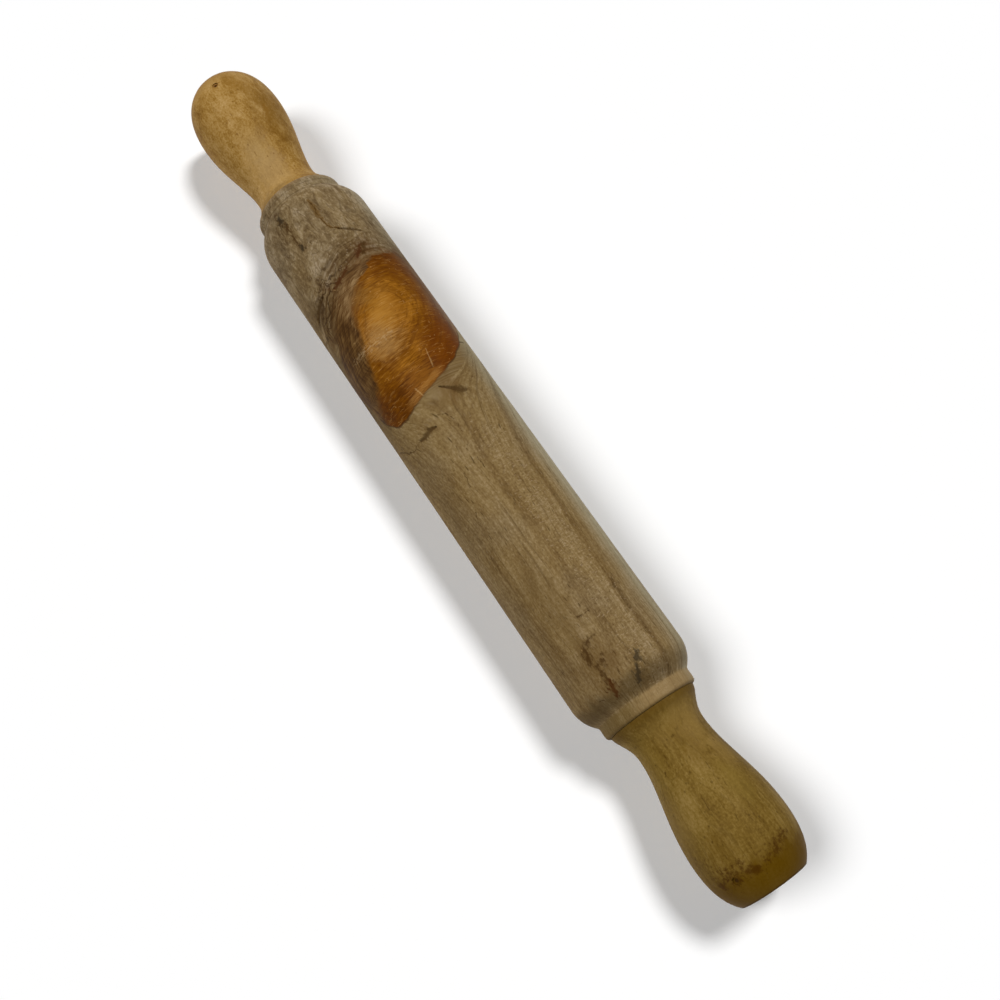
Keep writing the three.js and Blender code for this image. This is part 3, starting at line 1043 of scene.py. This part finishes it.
    amber = bench.tint(amber, pale_strokes, 0.3, stain(190, 142, 78))
    dark_strokes = bench.dashes(bench.vector("ADD", jostled, (3.1, 7.0, 9.0)), (0.5, 5.0, 5.0), 0.38, 0.5)
    amber = bench.tint(amber, dark_strokes, 0.34, stain(86, 44, 4))
    knot_lines = bench.contours(bench.sum_of(rings, (growth, 0.16), (brushed, 0.08)), 13.0, 0.22)
    amber = bench.tint(amber, bench.times(knot_lines, settled, broken), 0.42, stain(88, 46, 4))
    pits = bench.dashes(bench.vector("ADD", jostled, (5.0, 2.0, 8.0)), (1.0, 1.0, 1.0), 0.3, 0.12)
    amber = bench.tint(amber, pits, 0.4, stain(84, 44, 8))
    grit = bench.dashes(jostled, (1.1, 1.3, 1.3), 0.3, 0.08)
    amber = bench.tint(amber, grit, 0.3, stain(196, 150, 88))
    inside = past_line(bench, along, around, KNOT_LEFT_EDGE)
    strayed = bench.fade(around, 2.0, 14.0, 6.0, 16.0)
    inside = bench.sum_of(inside, (hairs, 5.0), (growth, 4.0), (patches, strayed), (lines["Speckle"], 2.0))
    dusk_tone = bench.sum_of(0.5, (swirls, 1.0), (hairs, 0.9), (patches, 0.6), (lines["Speckle"], 0.6))
    dusk = bench.ramp(dusk_tone, [
        (0.25, stain(52, 32, 12)),
        (0.5, stain(77, 52, 23)),
        (0.75, stain(108, 80, 43)),
    ])
    twilight = bench.ramp(dusk_tone, [
        (0.2, stain(60, 38, 18)),
        (0.5, stain(99, 71, 39)),
        (0.8, stain(142, 114, 76)),
    ])
    dusk = bench.blend(bench.fade(around, 21.0, 11.0), dusk, twilight)
    softness = bench.fade(around, 2.0, 14.0, 0.7, 5.5)
    golden = bench.fade(inside, bench.math("MULTIPLY", softness, -1.0), softness)
    amber = bench.blend(bench.math("MULTIPLY_ADD", golden, -0.95, 0.95), amber, dusk)
    # Painted sheen: towards the back the knot turns to the greyer brown tone, as its edge looks where it
    # catches a grazing reflection.
    above = bench.sum_of(around, (growth, 10.0), (hairs, 6.0))
    amber = bench.blend(bench.fade(above, -16.0, -26.0, 0.0, 0.7), amber, twilight)
    soft_edge = bench.fade(along, -45.0, -68.0, 0.02, 0.16)
    uneven_rings = bench.sum_of(rings, (swirls, bench.times(left_side, 0.4)), (brushed, 0.03))
    uneven_rings = bench.math("SUBTRACT", uneven_rings, bench.times(rightward, 0.25))
    outer = bench.math("ADD", 1.0, soft_edge)
    inner = bench.math("SUBTRACT", 1.0, soft_edge)
    knot = bench.fade(uneven_rings, outer, inner)
    leftward = bench.times(bench.fade(along, -40.0, -56.0), bench.fade(above, -36.0, -26.0))
    knot = bench.math("MAXIMUM", knot, bench.times(golden, leftward))
    knot = bench.times(knot, bench.fade(past_edge, 0.4, -0.6), bench.fade(around, 46.0, 38.0))
    knot = bench.times(knot, bench.fade(above, -42.0, -34.0))
    wood = bench.blend(knot, wood, amber)
    rim = bench.times(bench.within(past_edge, -0.1, 0.2, 0.5), bench.fade(along, -46.0, -34.0))
    worn_off = bench.within(around, 3.0, 7.0, 5.0)
    rim = bench.times(rim, bench.math("MULTIPLY_ADD", worn_off, -0.7, 1.0))
    rim = bench.times(rim, bench.within(around, 3.0, 25.0, 9.0))
    wood = bench.tint(wood, rim, 0.55, stain(54, 34, 14))

    # Flaws, each kind in its own colour.
    open_cracks = marked(bench, spot, frayed, OPEN_CRACKS)
    hair_cracks = bench.times(marked(bench, rough_spot, ragged, HAIR_CRACKS), broken)
    cracks = bench.math("MAXIMUM", hair_cracks, open_cracks)
    scuffs = bench.times(marked(bench, rough_spot, ragged, CHAFED_BAND), bench.fade(ticks, 0.46, 0.6))
    scratches = bench.times(marked(bench, spot, ragged, PALE_SCRATCHES), broken)
    stains = bench.times(marked(bench, rough_spot, ragged, BROWN_STAINS), soaked)
    wood = bench.tint(wood, stains, 0.85, stain(64, 41, 12))
    wood = bench.tint(wood, marked(bench, rough_spot, ragged, SOOT_MARKS), 0.8, stain(48, 39, 25))
    wood = bench.tint(wood, marked(bench, rough_spot, ragged, OCHRE_MARKS), 0.7, stain(98, 68, 22))
    wood = bench.tint(wood, marked(bench, rough_spot, ragged, RUST_MARKS), 0.8, stain(66, 32, 4))
    wood = bench.tint(wood, cracks, 0.76, stain(62, 41, 14))
    wood = bench.tint(wood, scuffs, 0.32, stain(194, 164, 120))
    wood = bench.tint(wood, scratches, 0.34, stain(196, 160, 104))

    shader.inputs["Specular IOR Level"].default_value = WOOD_SHINE
    bench.wire(shader.inputs["Base Color"], wood)
    roughness = bench.sum_of(0.6, (lines["Streaks"], 0.25), (clouds, 0.2), (lines["Speckle"], 0.2))
    bench.wire(shader.inputs["Roughness"], bench.math("MULTIPLY_ADD", knot, -0.12, roughness))
    height = bench.sum_of(0.5, (lines["Speckle"], 0.35), (ticks, 0.15), (lines["Streaks"], 0.3))
    height = bench.math("MULTIPLY_ADD", lines["Pores"], -0.5, height)
    height = bench.math("MULTIPLY_ADD", cracks, -0.7, height)
    bench.wire(shader.inputs["Normal"], bench.bump(height, 0.3, 0.2))
    return finish


# Where the heart of the log was, off the handles' middle line.
PITH = (0.0, 7.0, -11.0)


def handle_wood(
    name, tones, band_share, streak_share, blotch_share, foot_dirt_and_shade_share,
    mouth, patches, dashes, smears, smear_tone, end_tone, end_reach,
):
    """Close-grained wood of one handle, with its marks, a stained brad hole and a darker handled end."""
    finish, bench, shader, place = new_finish(name)
    lathe = bench.group(LATHE_PLACE, place=place)
    along = bench.math("ABSOLUTE", lathe["Along"])
    spot = lathe["Spot"]
    grain = bench.vector("ADD", place, bench.nudge(place, 22.0, (0, 6, 6)))
    lines = bench.group(WOOD_GRAIN, grain=grain, pore_share=0.45)
    ragged = bench.fade(bench.noise(place, (1.4, 0.9, 0.9), 4.0, 0.75), 0.3, 0.7, 0.4, 2.2)
    blotches = bench.noise(place, (7, 5, 5), 4.0, 0.65, 0.6)
    clouds = bench.noise(place, (24, 14, 14), 2.0, 0.5)
    crumbs = bench.noise(place, (0.9, 0.8, 0.8), 2.0, 0.6)
    tone = bench.sum_of(
        0.5,
        (lines["Bands"], band_share),
        (lines["Streaks"], streak_share),
        (lines["Mottle"], 0.2),
        (blotches, blotch_share),
        (clouds, 0.3),
        (crumbs, 0.62),
    )
    shade, brown, honey, pale, pore = tones
    wood = bench.ramp(tone, [(0.2, shade), (0.44, brown), (0.57, honey), (0.82, pale)])
    wood = patched(bench, wood, spot, blotches, patches)
    band_lines = bench.contours(bench.sum_of(lines["Bands"], (blotches, 0.06)), 8.0, 0.14)
    wood = bench.tint(wood, band_lines, bench.times(lines["Mottle"], 0.6 * band_share), pore)
    wood = bench.tint(wood, lines["Flecks"], 0.2, pale)
    wood = bench.tint(wood, lines["Pores"], 0.5, pore)
    specks = bench.dashes(place, (2.2, 1.8, 1.8), 0.3, bench.fade(blotches, 0.6, 0.3, 0.04, 0.3))
    wood = bench.tint(wood, specks, 0.5, pore)
    wood = bench.tint(wood, marked(bench, spot, ragged, dashes), 0.65, pore)
    # The foot darkened: partly dirt, partly painted shade under the collar's overhang.
    foot = bench.fade(bench.sum_of(along, (blotches, 6.0)), FOOT_AT + 4.0, FOOT_AT - 1.5)
    wood = bench.tint(wood, foot, foot_dirt_and_shade_share, shade)
    end_start = FOOT_AT + HANDLE_LENGTH - end_reach
    end = bench.fade(bench.sum_of(along, (blotches, 14.0), (crumbs, 6.0)), end_start - 1.0, end_start + 6.0)
    wood = bench.tint(wood, end, 0.88, end_tone)
    spots = bench.fade(bench.noise(place, (2.6, 3.4, 3.4), 4.0, 0.7), 0.38, 0.58)
    wood = bench.tint(wood, bench.times(marked(bench, spot, ragged, smears), spots), 0.75, smear_tone)
    end_at = FOOT_AT + HANDLE_LENGTH
    # Painted shade: a thin dark line round the rim of the flat end.
    edge = bench.fade(along, end_at - 0.9, end_at - 0.3)
    wood = bench.tint(wood, edge, 0.75, pore)
    past_pith = bench.vector("MULTIPLY", bench.vector("SUBTRACT", place, PITH), (0, 1, 1))
    from_pith = bench.vector("LENGTH", past_pith)
    end_rings = bench.noise(bench.join(from_pith, 0.0, 0.0), (1.3, 1, 1), 3.0, 0.6)
    ring_tone = bench.sum_of(0.5, (end_rings, 1.0), (crumbs, 0.8))
    end_grain = bench.ramp(ring_tone, [(0.25, pore), (0.75, brown)])
    wood = bench.tint(wood, bench.fade(along, end_at - 0.25, end_at - 0.05), 0.75, end_grain)
    from_brad = bench.times(bench.vector("DISTANCE", place, mouth), ragged)
    wood = bench.tint(wood, bench.fade(from_brad, 3.4, 0.8), 0.65, smear_tone)
    shader.inputs["Specular IOR Level"].default_value = WOOD_SHINE
    bench.wire(shader.inputs["Base Color"], wood)
    roughness = bench.sum_of(0.52, (blotches, 0.25), (crumbs, 0.2))
    bench.wire(shader.inputs["Roughness"], roughness)
    height = bench.sum_of(0.5, (crumbs, 0.35), (lines["Streaks"], 0.25))
    height = bench.math("MULTIPLY_ADD", lines["Pores"], -0.6, height)
    bench.wire(shader.inputs["Normal"], bench.bump(height, 0.25, 0.15))
    return finish


def make_metal_group():
    """Turning lines round the axle, and dull patches."""
    tree, bench, given, result = new_group(
        "Turned Metal",
        [("Place", "Vector"), ("Line Size", "Float")],
        [("Lines", "Float"), ("Tarnish", "Float")],
    )
    sizes = bench.join(given["Line Size"], 9.0, 9.0)
    bench.wire(result["Lines"], bench.noise(given["Place"], sizes, 3.0, 0.6))
    bench.wire(result["Tarnish"], bench.noise(given["Place"], (3.5, 2.5, 2.5), 4.0, 0.6))
    return tree


TURNED_METAL = make_metal_group()


def metal(name, bright, dull, metallic, roughness, line_size, shine=0.5, filled=None):
    """Turned metal; filled gives a brad's node, tilt and the wax tone that hides the rim of its head."""
    finish, bench, shader, place = new_finish(name)
    turned = bench.group(TURNED_METAL, place=place, line_size=line_size)
    colour = bench.blend(bench.fade(turned["Tarnish"], 0.42, 0.66), bright, dull)
    if filled:
        node, tilt, wax = filled
        past = bench.vector("SUBTRACT", place, (brad_along(node), 0, 0))
        from_axis = bench.vector("LENGTH", bench.vector("CROSS_PRODUCT", past, tuple(brad_axis(tilt))))
        from_middle = bench.sum_of(from_axis, (turned["Tarnish"], 0.8))
        colour = bench.blend(bench.fade(from_middle, 0.4, 1.0), colour, wax)
    shade = bench.sum_of(1.0, (turned["Lines"], 0.3))
    colour = bench.blend(1.0, colour, bench.join(shade, shade, shade), "MULTIPLY")
    shader.inputs["Metallic"].default_value = metallic
    shader.inputs["Specular IOR Level"].default_value = shine
    bench.wire(shader.inputs["Base Color"], colour)
    rough = bench.sum_of(roughness, (turned["Tarnish"], 0.5), (turned["Lines"], 0.25))
    bench.wire(shader.inputs["Roughness"], rough)
    bench.wire(shader.inputs["Normal"], bench.bump(turned["Lines"], 0.3, 0.05))
    return finish


# Pieces and their finishes.

def brad_mouth(node, tilt):
    axis = brad_axis(tilt) * BRAD_WOOD_RADIUS
    return (brad_along(node), axis.y, axis.z)


barrel = make_barrel()
right_handle = make_handle(
    "turned_right_handle", 1, RIGHT_COLLAR_END, "right_handle_brad", RIGHT_BRAD_TILT,
)
left_handle = make_handle(
    "turned_left_handle", -1, LEFT_COLLAR_END, "left_handle_brad", LEFT_BRAD_TILT,
)

barrel.data.materials.append(barrel_wood())
right_handle.data.materials.append(handle_wood(
    "right_handle_wood",
    (stain(86, 62, 16), stain(112, 87, 34), stain(125, 100, 46), stain(144, 118, 66), stain(66, 46, 8)),
    band_share=0.72,
    streak_share=0.42,
    blotch_share=0.24,
    foot_dirt_and_shade_share=0.75,
    mouth=brad_mouth("right_handle_brad", RIGHT_BRAD_TILT),
    patches=RIGHT_HANDLE_PATCHES,
    dashes=RIGHT_HANDLE_DASHES,
    smears=RIGHT_HANDLE_SMEARS,
    smear_tone=stain(60, 31, 0),
    end_tone=stain(86, 60, 0),
    end_reach=13.5,
))
left_handle.data.materials.append(handle_wood(
    "left_handle_wood",
    (stain(118, 80, 22), stain(148, 111, 50), stain(164, 128, 68), stain(186, 152, 98), stain(104, 68, 22)),
    band_share=0.4,
    streak_share=0.2,
    blotch_share=0.75,
    foot_dirt_and_shade_share=0.2,
    mouth=brad_mouth("left_handle_brad", LEFT_BRAD_TILT),
    patches=LEFT_HANDLE_PATCHES,
    dashes=LEFT_HANDLE_DASHES,
    smears=LEFT_HANDLE_SMEARS,
    smear_tone=stain(132, 92, 30),
    end_tone=stain(140, 102, 42),
    end_reach=6.0,
))

axle_steel = metal(
    "axle_steel", stain(176, 176, 174), stain(120, 114, 106), metallic=1.0, roughness=0.35, line_size=0.35,
)
bushing_brass = metal(
    "bushing_brass", stain(190, 154, 88), stain(120, 90, 48), metallic=1.0, roughness=0.4, line_size=0.4,
)
brad_finish = {"metallic": 0.1, "roughness": 0.9, "line_size": 0.5, "shine": 0.05}
right_fill = ("right_handle_brad", RIGHT_BRAD_TILT, stain(88, 62, 12))
left_fill = ("left_handle_brad", LEFT_BRAD_TILT, stain(150, 108, 50))
right_brad = metal(
    "right_brad_steel", stain(76, 50, 18), stain(52, 33, 10), filled=right_fill, **brad_finish,
)
left_brad = metal(
    "left_brad_steel", stain(76, 46, 16), stain(52, 30, 8), filled=left_fill, **brad_finish,
)
for node, finish in (
    ("axle_rod", axle_steel),
    ("right_washer", axle_steel),
    ("left_washer", axle_steel),
    ("right_bushing", bushing_brass),
    ("left_bushing", bushing_brass),
    ("right_handle_brad", right_brad),
    ("left_handle_brad", left_brad),
):
    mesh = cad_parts[node].data
    mesh.materials.clear()
    mesh.materials.append(finish)

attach(barrel, "barrel")
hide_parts("barrel")
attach(right_handle, "spindle")
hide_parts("right_handle")
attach(left_handle, "spindle")
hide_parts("left_handle")


# Floor, light and camera. Each lamp: the way to it, its share of white on the floor and its spread.

FLOOR_SIZE = 8000.0
SKY_LEVEL = 0.02
RIGHT_LAMP = (Vector((-0.16, 0.41, 0.88)), 0.54, math.radians(13))
LEFT_LAMP = (Vector((-0.2, -0.5, 0.83)), 0.44, math.radians(24))
AIM = Vector((29.63, -1.31, 24.0))
CAMERA_TURN = math.radians(56.79)
CAMERA_HEIGHT = math.radians(69.41)
CAMERA_DISTANCE = 433.3
FOCAL_LENGTH = 40.68


def make_floor():
    bpy.ops.object.select_all(action="DESELECT")
    bpy.ops.mesh.primitive_plane_add(size=FLOOR_SIZE * MM)
    floor = bpy.context.object
    floor.name = "floor"
    finish = bpy.data.materials.new("pale_floor")
    finish.use_nodes = True
    finish.node_tree.nodes.clear()
    bench = Bench(finish.node_tree)
    path = bench.node("ShaderNodeLightPath").outputs
    seen = bench.math("MAXIMUM", path["Is Camera Ray"], path["Is Glossy Ray"])
    matt = bench.node("ShaderNodeBsdfDiffuse")
    bench.wire(matt.inputs["Color"], bench.blend(seen, (0.92, 0.92, 0.92, 1), (1, 1, 1, 1)))
    output = bench.node("ShaderNodeOutputMaterial")
    bench.wire(output.inputs["Surface"], matt.outputs[0])
    floor.data.materials.append(finish)


def make_sky():
    sky = bpy.data.worlds.new("soft_sky")
    sky.use_nodes = True
    sky.node_tree.nodes.clear()
    bench = Bench(sky.node_tree)
    path = bench.node("ShaderNodeLightPath").outputs
    seen = bench.math("MAXIMUM", path["Is Camera Ray"], path["Is Glossy Ray"])
    seen = bench.math("MAXIMUM", seen, path["Is Transmission Ray"])
    background = bench.node("ShaderNodeBackground")
    background.inputs["Color"].default_value = (1, 1, 1, 1)
    bench.wire(background.inputs["Strength"], bench.math("MULTIPLY_ADD", seen, 1 - SKY_LEVEL, SKY_LEVEL))
    output = bench.node("ShaderNodeOutputWorld")
    bench.wire(output.inputs["Surface"], background.outputs[0])
    bpy.context.scene.world = sky


def make_lamp(name, towards, level, spread):
    """A distant soft lamp that lights the level floor to a share of white."""
    towards = towards.normalized()
    bpy.ops.object.light_add(type="SUN", location=AIM * MM + towards)
    lamp = bpy.context.object
    lamp.name = name
    lamp.data.angle = spread
    lamp.data.energy = level * math.pi / towards.z
    lamp.rotation_euler = towards.to_track_quat("Z", "Y").to_euler()


def make_camera():
    level = math.cos(CAMERA_HEIGHT)
    back = Vector((math.sin(CAMERA_TURN) * level, -math.cos(CAMERA_TURN) * level, math.sin(CAMERA_HEIGHT)))
    bpy.ops.object.camera_add(
        location=(AIM + back * CAMERA_DISTANCE) * MM,
        rotation=(math.pi / 2 - CAMERA_HEIGHT, 0, CAMERA_TURN),
    )
    camera = bpy.context.object
    camera.name = "camera"
    camera.data.sensor_width = 36.0
    camera.data.lens = FOCAL_LENGTH
    bpy.context.scene.camera = camera


make_floor()
make_sky()
make_lamp("right_lamp", *RIGHT_LAMP)
make_lamp("left_lamp", *LEFT_LAMP)
make_camera()
bpy.context.scene.view_settings.view_transform = "Standard"
